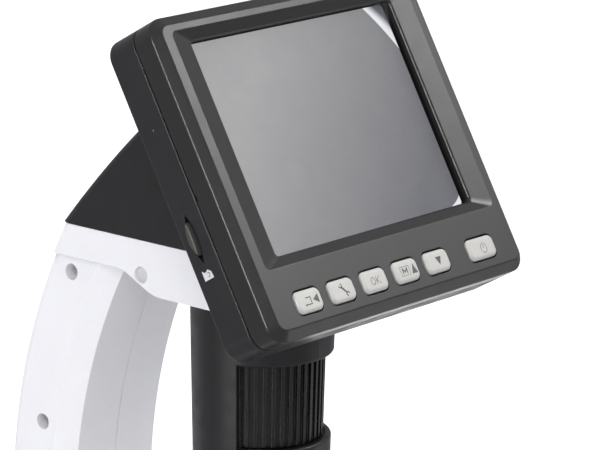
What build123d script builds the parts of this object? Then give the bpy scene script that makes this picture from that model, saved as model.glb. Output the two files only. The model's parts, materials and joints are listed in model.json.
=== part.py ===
from build123d import *
from math import sin, cos, radians, degrees, sqrt, asin, pi
import os

os.makedirs("parts", exist_ok=True)

# Desktop digital microscope with a fixed tilted display head.
# Frame: +Z up, +X to the right of the display, the user at -Y.
# Origin on the table, in the middle of the base's outline.

# ------------------------------------------------------------------ driving dimensions, mm
TILT = 30.0                   # display leans back from the vertical
SCREEN_Y, SCREEN_Z = -36.65, 166.0   # centre of the display opening

# head, in its own directions: x right, u up the face, n out of the face
HEAD_W, HEAD_H = 96.2, 81.0
HEAD_XC = 0.4                 # the head sits a touch to the right of the column
HEAD_UC = -6.3                # middle of the head below the middle of the opening
HEAD_R = 5.0
N_FACE, N_RIDGE, N_SEAM, N_BACK = 1.2, -0.6, -6.25, -15.45
SEAM_GAP = 0.25               # half the open seam between the two shells
RIM = 2.5                     # width of the sloped outer rim
OPEN_W, OPEN_H, OPEN_XC = 73.0, 54.0, 0.25
SLOPE_W, SLOPE_H, SLOPE_UC = 86.0, 59.9, 0.13
N_INNER = -2.0                # back of the front plate
N_GLASS = -2.6                # front of the display window, behind a raised lip
WALL = 2.0

# keys
KEY_W, KEY_H, KEY_R = 8.8, 5.5, 1.6
POWER_W = 10.25
KEY_U = -39.15
KEY_X0, KEY_PITCH, POWER_X = -33.05 - HEAD_XC, 11.99, 32.45 - HEAD_XC
KEY_PROUD = 0.75
KEY_GAP = 0.42
KEY_TRAVEL = 0.6

# column and optics
COL_Y = -15.0
COL_R, COL_TAPER, COL_TAPER_Z = 18.05, 0.0214, 118.0
COL_BOT = 61.1
COL_WALL = 1.65
WIN_LO, WIN_HI, WIN_ANGLE = 84.5, 105.85, 70.0
RING_LO, RING_HI = 84.5, 107.5
RING_R_TOP, RING_R_BOT = 15.78, 15.36
FLUTES = 44

# hood
HOOD_HALF = 18.05
HOOD_CY, HOOD_CZ, HOOD_R = -207.9, -71.95, 319.4   # gently crowned slope behind the head

# stand
CHEEK_TOP, CHEEK_LOW_REAR, CHEEK_LOW_FRONT = 132.5, 124.0, 118.7
CHEEK_IN, CHEEK_OUT = 15.55, 18.05
ARM_CY, ARM_CZ, ARM_R = -109.13, 54.1, 145.0
ARM_OY, ARM_OR = -102.05, 159.4
ARM_HALF_124, ARM_FLARE = 16.8, 0.005
ARM_WALL = 2.4
ARM_BEVEL_DEPTH, ARM_BEVEL_WIDTH = 6.2, 2.85
CHEEK_SCREW = (9.4, 123.65)
BASE_W, BASE_L, BASE_R, BASE_TOP = 100.0, 126.0, 36.0, 14.0
STAGE_R = 30.0

S30, C30 = sin(radians(TILT)), cos(radians(TILT))
HEAD = Plane(origin=(HEAD_XC, SCREEN_Y, SCREEN_Z), x_dir=(1, 0, 0), z_dir=(0, -C30, S30))
HEAD_N = Axis((0, SCREEN_Y, SCREEN_Z), (0, -C30, S30))


def at(x, u, n):
    """A point given in the head's directions, in the object's frame."""
    return (x + HEAD_XC, SCREEN_Y + u * S30 - n * C30, SCREEN_Z + u * C30 + n * S30)


def n_of(shape):
    """How far a shape's centre stands in front of the opening plane."""
    c = shape.center()
    return -(c.Y - SCREEN_Y) * C30 + (c.Z - SCREEN_Z) * S30


def u_of(shape):
    """How far a shape's centre stands up the face from the opening's middle."""
    c = shape.center()
    return (c.Y - SCREEN_Y) * S30 + (c.Z - SCREEN_Z) * C30


# planes on the head's side walls: local x runs up the face
RIGHT = Plane(origin=at(HEAD_W / 2, 0, 0), x_dir=(0, S30, C30), z_dir=(1, 0, 0))    # local y = n
LEFT = Plane(origin=at(-HEAD_W / 2, 0, 0), x_dir=(0, S30, C30), z_dir=(-1, 0, 0))   # local y = -n

KEY_SPOTS = [(KEY_X0 + i * KEY_PITCH, KEY_U) for i in range(5)] + [(POWER_X, KEY_U)]
KEY_WIDTHS = [KEY_W] * 5 + [POWER_W]
HEAD_BOSS = [(-43.0, 29.2), (43.0, 29.2), (-43.0, -41.6), (43.0, -41.6)]
NECK_BOSS = [(-12.0, 15.0), (12.0, 15.0), (-12.0, 3.0), (12.0, 3.0)]
SNAP_U, SNAP_N = -16.2, -11.3
MIC_U, MIC_N = 10.73, -10.73
USB_U, AV_U, CARD_U, PORT_N = 12.0, -2.0, -20.0, -10.6


def col_r(z):
    """Outer radius of the tapered column at height z."""
    return COL_R - COL_TAPER * max(0.0, COL_TAPER_Z - z)


# ================================================================== LCD head
# front shell: sloped rim outside, sloped frame inside, a hollow behind
with BuildPart() as front_bezel:
    with BuildSketch(HEAD.offset(N_SEAM + SEAM_GAP)):
        with Locations((0, HEAD_UC)):
            RectangleRounded(HEAD_W, HEAD_H, HEAD_R)
    extrude(amount=N_FACE - N_SEAM - SEAM_GAP)
    face = front_bezel.faces().sort_by(HEAD_N)[-1]
    chamfer(face.edges(), length=RIM, length2=N_FACE - N_RIDGE, reference=face)
    ridge = front_bezel.edges().filter_by(lambda e: abs(n_of(e) - N_RIDGE) < 0.05)
    fillet(ridge, 0.6)
    rim = front_bezel.faces().sort_by(HEAD_N)[-1].edges()
    fillet(rim, 0.5)
    with BuildSketch(HEAD.offset(N_SEAM)):
        with Locations((0, HEAD_UC)):
            RectangleRounded(HEAD_W - 2 * WALL, HEAD_H - 2 * WALL, HEAD_R - WALL)
    extrude(amount=N_INNER - N_SEAM, mode=Mode.SUBTRACT)
    with BuildSketch(HEAD.offset(N_GLASS)):
        with Locations((OPEN_XC, 0)):
            RectangleRounded(OPEN_W + 6.0, OPEN_H + 5.0, 1.5)
    extrude(amount=N_INNER - N_GLASS + 0.1)
    with BuildSketch(HEAD.offset(N_FACE)):
        with Locations((OPEN_XC, SLOPE_UC)):
            RectangleRounded(SLOPE_W, SLOPE_H, 1.6)
    with BuildSketch(HEAD):
        with Locations((OPEN_XC, 0)):
            RectangleRounded(OPEN_W, OPEN_H, 1.1)
    loft(mode=Mode.SUBTRACT)
    with BuildSketch(HEAD.offset(0.01)):
        with Locations((OPEN_XC, 0)):
            RectangleRounded(OPEN_W, OPEN_H, 1.1)
    extrude(amount=-5, mode=Mode.SUBTRACT)
    inner_rim = front_bezel.edges().filter_by(
        lambda e: abs(n_of(e)) < 0.05 and abs(e.center().X) < 37.6 and -28 < u_of(e) < 28)
    fillet(inner_rim, 0.9)
    with BuildSketch(HEAD.offset(N_FACE + 1)):
        for spot, width in zip(KEY_SPOTS, KEY_WIDTHS):
            with Locations(spot):
                RectangleRounded(width + 2 * KEY_GAP, KEY_H + 2 * KEY_GAP, KEY_R + KEY_GAP)
    extrude(amount=-6, mode=Mode.SUBTRACT)
    with BuildSketch(HEAD.offset(N_INNER + 0.1)):
        with Locations(*HEAD_BOSS):
            Circle(2.4)
    extrude(amount=N_SEAM - N_INNER)
    with BuildSketch(HEAD.offset(N_SEAM - 0.2)):
        with Locations(*HEAD_BOSS):
            Circle(0.85)
    extrude(amount=5.0, mode=Mode.SUBTRACT)
    with BuildSketch(LEFT.offset(0.5)):
        with Locations((-8.1, 6.0)):
            Rectangle(1.5, 0.9)
    extrude(amount=-1.1, mode=Mode.SUBTRACT)
front_bezel.part.label = "front_bezel"
export_step(front_bezel.part, "parts/front_bezel.step")

# rear shell: hollow, with screw posts, the neck opening, side sockets and the snapshot slot
with BuildPart() as rear_shell:
    with BuildSketch(HEAD.offset(N_BACK)):
        with Locations((0, HEAD_UC)):
            RectangleRounded(HEAD_W, HEAD_H, HEAD_R)
    extrude(amount=N_SEAM - SEAM_GAP - N_BACK)
    fillet(rear_shell.faces().sort_by(HEAD_N)[0].edges(), 0.6)
    chamfer(rear_shell.faces().sort_by(HEAD_N)[-1].edges(), 0.15)
    with BuildSketch(HEAD.offset(N_BACK + WALL)):
        with Locations((0, HEAD_UC)):
            RectangleRounded(HEAD_W - 2 * WALL, HEAD_H - 2 * WALL, HEAD_R - WALL)
    extrude(amount=12, mode=Mode.SUBTRACT)
    with BuildSketch(HEAD.offset(N_BACK + WALL - 0.2)):
        with Locations(*HEAD_BOSS):
            Circle(3.0)
    extrude(amount=N_SEAM - 0.14 - (N_BACK + WALL - 0.2))
    with BuildSketch(HEAD.offset(N_BACK - 1)):
        with Locations(*HEAD_BOSS):
            Circle(1.15)
        with Locations(*NECK_BOSS):
            Circle(1.15)
    extrude(amount=12, mode=Mode.SUBTRACT)
    with BuildSketch(HEAD.offset(N_BACK - 1)):
        with Locations(*HEAD_BOSS):
            Circle(2.2)
    extrude(amount=4.0, mode=Mode.SUBTRACT)
    with BuildSketch(HEAD.offset(N_BACK - 1)):
        Circle(6.0)
    extrude(amount=5, mode=Mode.SUBTRACT)
    # sockets in the right wall
    with BuildSketch(RIGHT.offset(1)):
        with Locations((USB_U, PORT_N)):
            RectangleRounded(8.6, 4.2, 0.8)
        with Locations((AV_U, PORT_N)):
            Circle(2.15)
        with Locations((CARD_U, PORT_N)):
            RectangleRounded(12.6, 1.8, 0.6)
    extrude(amount=-4, mode=Mode.SUBTRACT)
    # lens-shaped slot and pinhole in the left wall
    with BuildSketch(LEFT.offset(1)):
        with BuildLine():
            ThreePointArc((SNAP_U - 6.3, -SNAP_N), (SNAP_U, -SNAP_N + 1.6), (SNAP_U + 6.3, -SNAP_N))
            ThreePointArc((SNAP_U + 6.3, -SNAP_N), (SNAP_U, -SNAP_N - 1.2), (SNAP_U - 6.3, -SNAP_N))
        make_face()
        with Locations((MIC_U, -MIC_N)):
            Circle(0.34)
    extrude(amount=-4, mode=Mode.SUBTRACT)
rear_shell.part.label = "rear_shell"
export_step(rear_shell.part, "parts/rear_shell.step")

# clear window behind the opening
with BuildPart() as display_window:
    with BuildSketch(HEAD.offset(N_GLASS - 1.25)):
        with Locations((OPEN_XC, 0)):
            RectangleRounded(77.0, 58.0, 1.5)
    extrude(amount=1.2)
display_window.part.label = "display_window"
export_step(display_window.part, "parts/display_window.step")

with BuildPart() as lcd_panel:
    with BuildSketch(HEAD.offset(-6.8)):
        with Locations((0, -1.6)):
            Rectangle(77.4, 63.6)
    extrude(amount=2.9)
    chamfer(lcd_panel.edges().filter_by(lambda e: abs(n_of(e) + 3.9) < 0.05), 0.3)
lcd_panel.part.label = "lcd_panel"
export_step(lcd_panel.part, "parts/lcd_panel.step")

with BuildPart() as lcd_back_frame:
    with BuildSketch(HEAD.offset(-7.25)):
        with Locations((0, -1.6)):
            RectangleRounded(78.6, 64.8, 1.0)
    extrude(amount=0.4)
lcd_back_frame.part.label = "lcd_back_frame"
export_step(lcd_back_frame.part, "parts/lcd_back_frame.step")

with BuildPart() as main_board:
    with BuildSketch(HEAD.offset(-8.4)):
        with Locations((0, -2.0)):
            Rectangle(79.0, 62.0)
        with Locations((30, 20), (-30, 20), (30, -26), (-30, -26)):
            Circle(1.2, mode=Mode.SUBTRACT)
    extrude(amount=1.0)
main_board.part.label = "main_board"
export_step(main_board.part, "parts/main_board.step")

with BuildPart() as board_chips:
    with BuildSketch(HEAD.offset(-9.75)):
        with Locations((-14, -18)):
            Rectangle(14, 14)
        with Locations((8, -20)):
            Rectangle(11, 8)
        with Locations((-16, 8)):
            Rectangle(6, 6)
    extrude(amount=1.3)
board_chips.part.label = "board_chips"
export_step(board_chips.part, "parts/board_chips.step")

with BuildPart() as key_board:
    with BuildSketch(HEAD.offset(-6.4)):
        with Locations((0, KEY_U)):
            Rectangle(79.0, 8.6)
    extrude(amount=1.0)
key_board.part.label = "key_board"
export_step(key_board.part, "parts/key_board.step")

with BuildPart() as dome_switches:
    with BuildSketch(HEAD.offset(-5.38)):
        with Locations(*KEY_SPOTS):
            Circle(2.2)
    extrude(amount=0.45)
dome_switches.part.label = "dome_switches"
export_step(dome_switches.part, "parts/dome_switches.step")


# a front key: rounded cap, a flange that keeps it behind the bezel, and a stem above its dome
def key_cap(x, width):
    with BuildPart(mode=Mode.PRIVATE) as cap:
        with BuildSketch(HEAD.offset(-2.9)):
            with Locations((x, KEY_U)):
                RectangleRounded(width, KEY_H, KEY_R)
        extrude(amount=2.9 + N_FACE + KEY_PROUD)
        fillet(cap.faces().sort_by(HEAD_N)[-1].edges(), 0.85)
        with BuildSketch(HEAD.offset(-3.4)):
            with Locations((x, KEY_U)):
                RectangleRounded(width + 1.2, KEY_H + 1.3, 1.2)
        extrude(amount=1.1)
        with BuildSketch(HEAD.offset(-4.25)):
            with Locations((x, KEY_U)):
                Circle(1.4)
        extrude(amount=1.0)
    return cap.part


with BuildPart() as key_back:
    add(key_cap(KEY_SPOTS[0][0], KEY_WIDTHS[0]))
key_back.part.label = "key_back"
export_step(key_back.part, "parts/key_back.step")

with BuildPart() as key_menu:
    add(key_cap(KEY_SPOTS[1][0], KEY_WIDTHS[1]))
key_menu.part.label = "key_menu"
export_step(key_menu.part, "parts/key_menu.step")

with BuildPart() as key_ok:
    add(key_cap(KEY_SPOTS[2][0], KEY_WIDTHS[2]))
key_ok.part.label = "key_ok"
export_step(key_ok.part, "parts/key_ok.step")

with BuildPart() as key_mode:
    add(key_cap(KEY_SPOTS[3][0], KEY_WIDTHS[3]))
key_mode.part.label = "key_mode"
export_step(key_mode.part, "parts/key_mode.step")

with BuildPart() as key_down:
    add(key_cap(KEY_SPOTS[4][0], KEY_WIDTHS[4]))
key_down.part.label = "key_down"
export_step(key_down.part, "parts/key_down.step")

with BuildPart() as key_power:
    add(key_cap(KEY_SPOTS[5][0], KEY_WIDTHS[5]))
key_power.part.label = "key_power"
export_step(key_power.part, "parts/key_power.step")

# snapshot key: a lens-shaped bump with an inner flange and a stem
with BuildPart() as snapshot_key:
    with BuildSketch(LEFT.offset(-2.5)):
        with BuildLine():
            ThreePointArc((SNAP_U - 4.1, -SNAP_N), (SNAP_U, -SNAP_N + 1.4), (SNAP_U + 4.1, -SNAP_N))
            ThreePointArc((SNAP_U + 4.1, -SNAP_N), (SNAP_U, -SNAP_N - 0.3), (SNAP_U - 4.1, -SNAP_N))
        make_face()
    extrude(amount=3.45)
    fillet(snapshot_key.faces().sort_by(Axis.X)[0].edges(), 0.45)
    with BuildSketch(LEFT.offset(-3.4)):
        with Locations((SNAP_U, -SNAP_N)):
            Rectangle(12.8, 3.0)
    extrude(amount=1.1)
    with BuildSketch(LEFT.offset(-4.2)):
        with Locations((SNAP_U, -SNAP_N)):
            Rectangle(2.4, 1.8)
    extrude(amount=1.0)
snapshot_key.part.label = "snapshot_key"
export_step(snapshot_key.part, "parts/snapshot_key.step")

with BuildPart() as snapshot_switch:
    with BuildSketch(LEFT.offset(-8.6)):
        with Locations((SNAP_U, 10.45)):
            Rectangle(6.2, 3.6)
    extrude(amount=3.3)
    with BuildSketch(LEFT.offset(-5.4)):
        with Locations((SNAP_U, 11.1)):
            Rectangle(2.6, 1.4)
    extrude(amount=0.5)
snapshot_switch.part.label = "snapshot_switch"
export_step(snapshot_switch.part, "parts/snapshot_switch.step")

with BuildPart() as microphone:
    with BuildSketch(LEFT.offset(-4.2)):
        with Locations((MIC_U, -MIC_N)):
            Circle(1.9)
    extrude(amount=2.0)
    # its mesh-covered sound nozzle fills the pinhole
    with BuildSketch(LEFT.offset(-2.3)):
        with Locations((MIC_U, -MIC_N)):
            Circle(0.28)
    extrude(amount=2.15)
microphone.part.label = "microphone"
export_step(microphone.part, "parts/microphone.step")

with BuildPart() as usb_socket:
    with BuildSketch(RIGHT.offset(-7.2)):
        with Locations((USB_U, PORT_N)):
            RectangleRounded(7.8, 3.7, 0.6)
    extrude(amount=6.9)
    with BuildSketch(RIGHT.offset(-6.2)):
        with Locations((USB_U, PORT_N)):
            RectangleRounded(7.0, 2.9, 0.4)
    extrude(amount=8, mode=Mode.SUBTRACT)
    with BuildSketch(RIGHT.offset(-6.4)):
        with Locations((USB_U, PORT_N)):
            Rectangle(4.4, 0.7)
    extrude(amount=5.2)
usb_socket.part.label = "usb_socket"
export_step(usb_socket.part, "parts/usb_socket.step")

with BuildPart() as av_socket:
    with BuildSketch(RIGHT.offset(-12.0)):
        with Locations((AV_U, PORT_N)):
            Rectangle(6.0, 4.0)
    extrude(amount=9.7)
    with BuildSketch(RIGHT.offset(-2.4)):
        with Locations((AV_U, PORT_N)):
            Circle(1.95)
    extrude(amount=2.2)
    with BuildSketch(RIGHT.offset(-11.0)):
        with Locations((AV_U, PORT_N)):
            Circle(1.28)
    extrude(amount=12, mode=Mode.SUBTRACT)
av_socket.part.label = "av_socket"
export_step(av_socket.part, "parts/av_socket.step")

with BuildPart() as card_socket:
    with BuildSketch(RIGHT.offset(-16.4)):
        with Locations((CARD_U, PORT_N)):
            Rectangle(14.0, 2.0)
    extrude(amount=14.2)
    with BuildSketch(RIGHT.offset(-15.6)):
        with Locations((CARD_U, PORT_N)):
            Rectangle(11.6, 1.1)
    extrude(amount=16, mode=Mode.SUBTRACT)
card_socket.part.label = "card_socket"
export_step(card_socket.part, "parts/card_socket.step")

# four screws from the back of the head
with BuildPart() as head_screws:
    with BuildSketch(HEAD.offset(N_BACK + 1.55)):
        with Locations(*HEAD_BOSS):
            Circle(1.95)
    extrude(amount=1.4)
    with BuildSketch(HEAD.offset(N_BACK + 2.0)):
        with Locations(*HEAD_BOSS):
            Circle(0.8)
    extrude(amount=9.6)
    with BuildSketch(HEAD.offset(N_BACK + 1.5)):
        for p in HEAD_BOSS:
            with Locations(p):
                Rectangle(2.4, 0.5)
                Rectangle(0.5, 2.4)
    extrude(amount=0.75, mode=Mode.SUBTRACT)
head_screws.part.label = "head_screws"
export_step(head_screws.part, "parts/head_screws.step")

# four screws that hold the head on the neck, driven from inside the head
with BuildPart() as neck_screws:
    with BuildSketch(HEAD.offset(N_BACK + WALL + 0.03)):
        with Locations(*NECK_BOSS):
            Circle(1.9)
    extrude(amount=1.3)
    with BuildSketch(HEAD.offset(N_BACK + WALL + 0.5)):
        with Locations(*NECK_BOSS):
            Circle(0.8)
    extrude(amount=-8.0)
neck_screws.part.label = "neck_screws"
export_step(neck_screws.part, "parts/neck_screws.step")


# ================================================================== body: hood and column
def hood_z(y):
    """Height of the hood's crowned top at depth y."""
    return HOOD_CZ + sqrt(HOOD_R ** 2 - (y - HOOD_CY) ** 2)


def hood_y(z):
    return HOOD_CY + sqrt(HOOD_R ** 2 - (z - HOOD_CZ) ** 2)


def back_plane(u, n=N_BACK):
    p = at(0, u, n)
    return (p[1], p[2])


# where the crowned top meets the head's back
HOOD_B = S30 * (back_plane(0)[0] - HOOD_CY) + C30 * (back_plane(0)[1] - HOOD_CZ)
HOOD_D = (back_plane(0)[0] - HOOD_CY) ** 2 + (back_plane(0)[1] - HOOD_CZ) ** 2 - HOOD_R ** 2
U_TOP = -HOOD_B + sqrt(HOOD_B ** 2 - HOOD_D)
U_AXIS = (COL_Y - back_plane(0)[0]) / S30

with BuildPart() as body_full:
    # tapered column, up into the head's back
    with BuildSketch(Plane.XZ.offset(-COL_Y)):
        with BuildLine():
            Polyline((0, COL_BOT), (col_r(COL_BOT), COL_BOT), (COL_R, COL_TAPER_Z), (COL_R, 186), (0, 186), (0, COL_BOT))
        make_face()
    revolve(axis=Axis((0, COL_Y, 0), (0, 0, 1)))
    # flat-sided hood behind the column
    with BuildSketch(Plane.YZ.offset(-HOOD_HALF)):
        with BuildLine():
            Polyline(
                (COL_Y, 119.6), (COL_Y, 186), (hood_y(CHEEK_TOP) + 3, 186),
                (hood_y(CHEEK_TOP) + 3, CHEEK_TOP + 0.1),
                (21.0, CHEEK_TOP + 0.1), (21.0, 124.6), (15.6, 124.6), (5.2, 119.6), (COL_Y, 119.6),
            )
        make_face()
    extrude(amount=2 * HOOD_HALF)
    # everything in front of the head's back, and above the crowned top, is not there
    with BuildSketch(Plane.YZ.offset(-30)):
        with BuildLine():
            Polyline(back_plane(-80), back_plane(80), (back_plane(80)[0] - 200, back_plane(80)[1]), (back_plane(-80)[0] - 130, back_plane(-80)[1]), back_plane(-80))
        make_face()
    extrude(amount=60, mode=Mode.SUBTRACT)
    with BuildSketch(Plane.YZ.offset(-30)):
        with BuildLine():
            ThreePointArc((-60, hood_z(-60)), (0, hood_z(0)), (60, hood_z(60)))
            Polyline((60, hood_z(60)), (90, 300), (-60, 300), (-60, hood_z(-60)))
        make_face()
    extrude(amount=60, mode=Mode.SUBTRACT)
    top = body_full.faces().filter_by(lambda f: f.area > 900 and abs(f.normal_at().X) < 0.01 and f.normal_at().Z > 0.5 and f.normal_at().Y > 0.5)
    long_edges = top.edges().filter_by(lambda e: e.length > 40)
    fillet(long_edges, 3.0)
    # the bore of the column
    with BuildSketch(Plane.XZ.offset(-COL_Y)):
        with BuildLine():
            Polyline((0, COL_BOT - 1), (col_r(COL_BOT) - COL_WALL, COL_BOT - 1), (col_r(COL_BOT) - COL_WALL, COL_BOT),
                     (col_r(116.6) - COL_WALL, 116.6), (13.4, 117.4), (13.4, 135.0), (0, 135.0), (0, COL_BOT - 1))
        make_face()
    revolve(axis=Axis((0, COL_Y, 0), (0, 0, 1)), mode=Mode.SUBTRACT)
    # hollow of the hood: narrower between the stand's cheeks, wider above them
    with BuildSketch(Plane.YZ.offset(-13.3)):
        with BuildLine():
            Polyline((COL_Y, 121.5), (3.8, 121.5), (13.9, 126.7), (18.9, 126.7), (18.9, 135.0), (COL_Y, 135.0), (COL_Y, 121.5))
        make_face()
    extrude(amount=26.6, mode=Mode.SUBTRACT)
    b0, b1 = back_plane(-12.5, N_BACK - 2.2), back_plane(U_TOP - 3.5, N_BACK - 2.2)
    with BuildSketch(Plane.YZ.offset(-11.0)):
        with BuildLine():
            Polyline((-28.0, 134.9), b0, b1, (hood_y(135.0) - 4.2, 134.9), (-28.0, 134.9))
        make_face()
    extrude(amount=22.0, mode=Mode.SUBTRACT)
    with BuildSketch(Plane.YZ.offset(-15.9)):
        with BuildLine():
            Polyline((COL_Y + 1, 134.9), (COL_Y + 1, back_plane(U_AXIS, N_BACK - 2.2)[1] - 6), (b1[0] + 2, b1[1] - 8), (hood_y(135.0) - 6.0, 134.9), (COL_Y + 1, 134.9))
        make_face()
    extrude(amount=31.8, mode=Mode.SUBTRACT)
    # cable way into the head
    with BuildSketch(HEAD.offset(N_BACK + 1)):
        Circle(6.0)
    extrude(amount=-8, mode=Mode.SUBTRACT)
    # posts for the neck screws
    with BuildSketch(HEAD.offset(N_BACK)):
        with Locations(*NECK_BOSS):
            Circle(2.7)
    extrude(amount=-8.5)
    with BuildSketch(HEAD.offset(N_BACK + 1)):
        with Locations(*NECK_BOSS):
            Circle(0.85)
    extrude(amount=-8.6, mode=Mode.SUBTRACT)
    # seats for the cheeks
    with BuildSketch(Plane.YZ.offset(CHEEK_IN - 0.05)):
        with BuildLine():
            Polyline((COL_Y - 0.1, 118.6), (COL_Y - 0.1, CHEEK_TOP + 0.1), (60, CHEEK_TOP + 0.1), (60, 118.6), (COL_Y - 0.1, 118.6))
        make_face()
    extrude(amount=8, mode=Mode.SUBTRACT)
    with BuildSketch(Plane.YZ.offset(-CHEEK_IN + 0.05)):
        with BuildLine():
            Polyline((COL_Y - 0.1, 118.6), (COL_Y - 0.1, CHEEK_TOP + 0.1), (60, CHEEK_TOP + 0.1), (60, 118.6), (COL_Y - 0.1, 118.6))
        make_face()
    extrude(amount=-8, mode=Mode.SUBTRACT)
    # posts for the cheek screws
    with BuildSketch(Plane.YZ.offset(-CHEEK_IN + 0.05)):
        with Locations(CHEEK_SCREW):
            Circle(2.6)
    extrude(amount=9)
    with BuildSketch(Plane.YZ.offset(CHEEK_IN - 0.05)):
        with Locations(CHEEK_SCREW):
            Circle(2.6)
    extrude(amount=-9)
    with BuildSketch(Plane.YZ.offset(-20)):
        with Locations(CHEEK_SCREW):
            Circle(0.85)
    extrude(amount=40, mode=Mode.SUBTRACT)
    # shelves above and below the focus ring
    with BuildSketch(Plane.XY.offset(83.3)):
        with Locations((0, COL_Y)):
            Circle(col_r(84) - COL_WALL + 0.4)
            Circle(11.5, mode=Mode.SUBTRACT)
    extrude(amount=0.9)
    with BuildSketch(Plane.XY.offset(107.9)):
        with Locations((0, COL_Y)):
            Circle(col_r(108) - COL_WALL + 0.4)
            Circle(11.5, mode=Mode.SUBTRACT)
    extrude(amount=1.2)
    # window for the focus ring
    a0 = radians(-90 - WIN_ANGLE)
    a1 = radians(-90 + WIN_ANGLE)
    with BuildSketch(Plane.XY.offset(WIN_LO)):
        with BuildLine():
            Line((0, COL_Y), (26 * cos(a0), COL_Y + 26 * sin(a0)))
            ThreePointArc((26 * cos(a0), COL_Y + 26 * sin(a0)), (0, COL_Y - 26), (26 * cos(a1), COL_Y + 26 * sin(a1)))
            Line((26 * cos(a1), COL_Y + 26 * sin(a1)), (0, COL_Y))
        make_face()
    extrude(amount=WIN_HI - WIN_LO, mode=Mode.SUBTRACT)
    lips = body_full.edges().filter_by(
        lambda e: (abs(e.center().Z - WIN_LO) < 0.02 or abs(e.center().Z - WIN_HI) < 0.02)
        and e.length > 30 and abs(e.bounding_box().size.X - 2 * col_r(e.center().Z) * sin(radians(WIN_ANGLE))) < 1.0
    )
    fillet(lips, 0.7)

with BuildPart() as body_left:
    add(body_full.part)
    split(bisect_by=Plane.YZ.offset(-0.04), keep=Keep.BOTTOM)
body_left.part.label = "body_left"
export_step(body_left.part, "parts/body_left.step")

with BuildPart() as body_right:
    add(body_full.part)
    split(bisect_by=Plane.YZ.offset(0.04), keep=Keep.TOP)
body_right.part.label = "body_right"
export_step(body_right.part, "parts/body_right.step")

with BuildPart() as battery_pack:
    with BuildSketch(Plane.XY.offset(127.2)):
        with Locations((0, 5.0)):
            RectangleRounded(24.0, 26.0, 2.0)
    extrude(amount=7.6)
    fillet(battery_pack.faces().sort_by(Axis.Z)[-1].edges(), 0.8)
battery_pack.part.label = "battery_pack"
export_step(battery_pack.part, "parts/battery_pack.step")

with BuildPart() as sensor_ribbon:
    with BuildSketch(Plane.YZ.offset(-4)):
        with BuildLine():
            FilletPolyline((COL_Y, 112.4), (COL_Y, 146.0), (-28.75, 162.05), radius=9)
        trace(line_width=0.3)
    extrude(amount=8)
sensor_ribbon.part.label = "sensor_ribbon"
export_step(sensor_ribbon.part, "parts/sensor_ribbon.step")

with BuildPart() as sensor_board:
    with BuildSketch(Plane.XY.offset(111.05)):
        with Locations((0, COL_Y)):
            Circle(13.5)
    extrude(amount=1.2)
sensor_board.part.label = "sensor_board"
export_step(sensor_board.part, "parts/sensor_board.step")

with BuildPart() as image_sensor:
    with BuildSketch(Plane.XY.offset(110.0)):
        with Locations((0, COL_Y)):
            Rectangle(8, 7)
    extrude(amount=1.0)
image_sensor.part.label = "image_sensor"
export_step(image_sensor.part, "parts/image_sensor.step")

# fixed tube with two upright slots that keep the carriage from turning
with BuildPart() as guide_tube:
    with BuildSketch(Plane.XY.offset(82.0)):
        with Locations((0, COL_Y)):
            Circle(11.4)
    extrude(amount=29.0)
    with BuildSketch(Plane.XY.offset(82.0)):
        with Locations((0, COL_Y)):
            Circle(13.2)
    extrude(amount=1.25)
    with BuildSketch(Plane.XY.offset(81.0)):
        with Locations((0, COL_Y)):
            Circle(10.4)
    extrude(amount=31, mode=Mode.SUBTRACT)
    with BuildSketch(Plane.YZ.offset(-20)):
        with Locations((COL_Y, 96.0)):
            SlotCenterToCenter(10.4, 2.6, rotation=90)
    extrude(amount=40, mode=Mode.SUBTRACT)
guide_tube.part.label = "guide_tube"
export_step(guide_tube.part, "parts/guide_tube.step")

# focus ring: a tapered ring with round-bottomed flutes all round
with BuildPart() as focus_ring:
    with BuildSketch(Plane.XZ.offset(-COL_Y)):
        with BuildLine():
            Polyline((11.8, RING_LO), (RING_R_BOT - 0.3, RING_LO), (RING_R_BOT, RING_LO + 0.3), (RING_R_TOP, RING_HI - 0.3),
                     (RING_R_TOP - 0.3, RING_HI), (11.8, RING_HI), (11.8, 102.9), (13.4, 102.9), (13.4, 89.1), (11.8, 89.1), (11.8, RING_LO))
        make_face()
    revolve(axis=Axis((0, COL_Y, 0), (0, 0, 1)))
    with BuildSketch(Plane.XY.offset(RING_LO - 0.5)):
        with Locations((0, COL_Y)):
            with PolarLocations(RING_R_TOP + 0.02, FLUTES, start_angle=6.4):
                Rectangle(2.2, 1.42)
    extrude(amount=RING_HI - RING_LO + 1.0, mode=Mode.SUBTRACT)
focus_ring.part.label = "focus_ring"
export_step(focus_ring.part, "parts/focus_ring.step")

# lens carriage: a barrel with two guide pins
with BuildPart() as lens_carriage:
    with BuildSketch(Plane.XY.offset(89.0)):
        with Locations((0, COL_Y)):
            Circle(10.0)
    extrude(amount=14.0)
    with BuildSketch(Plane.YZ.offset(-13.0)):
        with Locations((COL_Y, 96.0)):
            Circle(0.9)
    extrude(amount=26.0)
    with BuildSketch(Plane.XY.offset(88.0)):
        with Locations((0, COL_Y)):
            Circle(7.6)
    extrude(amount=13.0, mode=Mode.SUBTRACT)
    with BuildSketch(Plane.XY.offset(88.0)):
        with Locations((0, COL_Y)):
            Circle(6.4)
    extrude(amount=16.0, mode=Mode.SUBTRACT)
lens_carriage.part.label = "lens_carriage"
export_step(lens_carriage.part, "parts/lens_carriage.step")

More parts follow.
